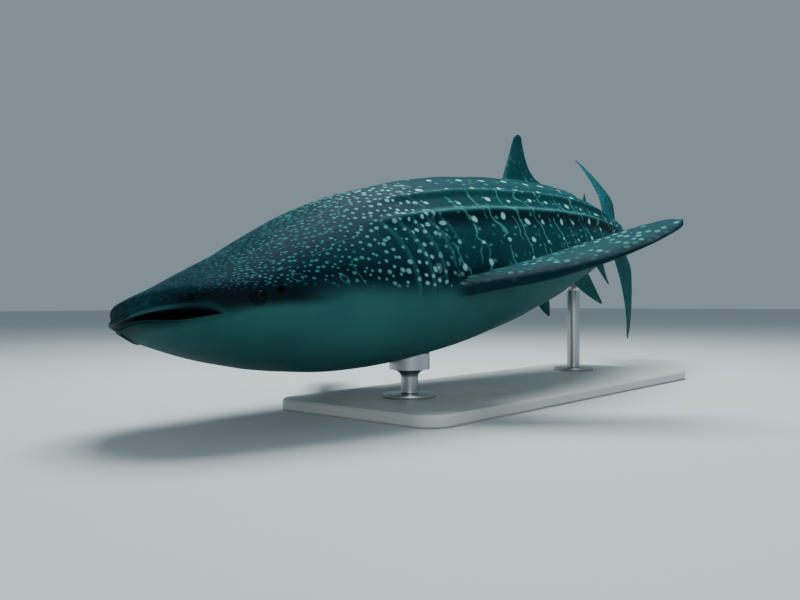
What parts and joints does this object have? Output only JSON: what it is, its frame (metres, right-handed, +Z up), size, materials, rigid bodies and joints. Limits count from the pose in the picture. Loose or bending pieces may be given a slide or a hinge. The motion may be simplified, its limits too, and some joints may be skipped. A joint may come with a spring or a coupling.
{
  "type": "whale shark model on a display stand",
  "caption": "Life-size still model of a whale shark in a slow banking turn, mouth ajar and pectoral fins spread, carried over a flat base by rods.",
  "frame": {"origin": "middle of the stand base's underside, on the floor", "axes": "+X towards the animal's head, +Y to its left, +Z up"},
  "size_m": [7.0471, 3.0439, 2.4677],
  "materials": {
    "hide": "damp matt skin, dark blue-green with rows of pale spots and bars, pale below",
    "fin_hide": "damp matt skin, dark blue-green with small pale spots",
    "throat": "damp matt skin, pale grey-green",
    "eye": "wet gloss, near black",
    "painted_base": "satin off-white paint",
    "steel": "brushed"
  },
  "bodies": {
    "root": {"head": "hide", "lower_jaw": "throat", "eye_left": "eye", "eye_right": "eye", "shoulder": "hide", "flank": "hide", "loin": "hide", "tail_stock": "hide", "pectoral_fin_left": "fin_hide", "pectoral_fin_right": "fin_hide", "first_dorsal_fin": "fin_hide", "second_dorsal_fin": "fin_hide", "pelvic_fin_left": "fin_hide", "pelvic_fin_right": "fin_hide", "anal_fin": "fin_hide", "tail_lobe_upper": "fin_hide", "tail_lobe_lower": "fin_hide", "stand_base": "painted_base", "stand_rod_front": "steel", "stand_rod_rear": "steel"}
  },
  "joints": []
}
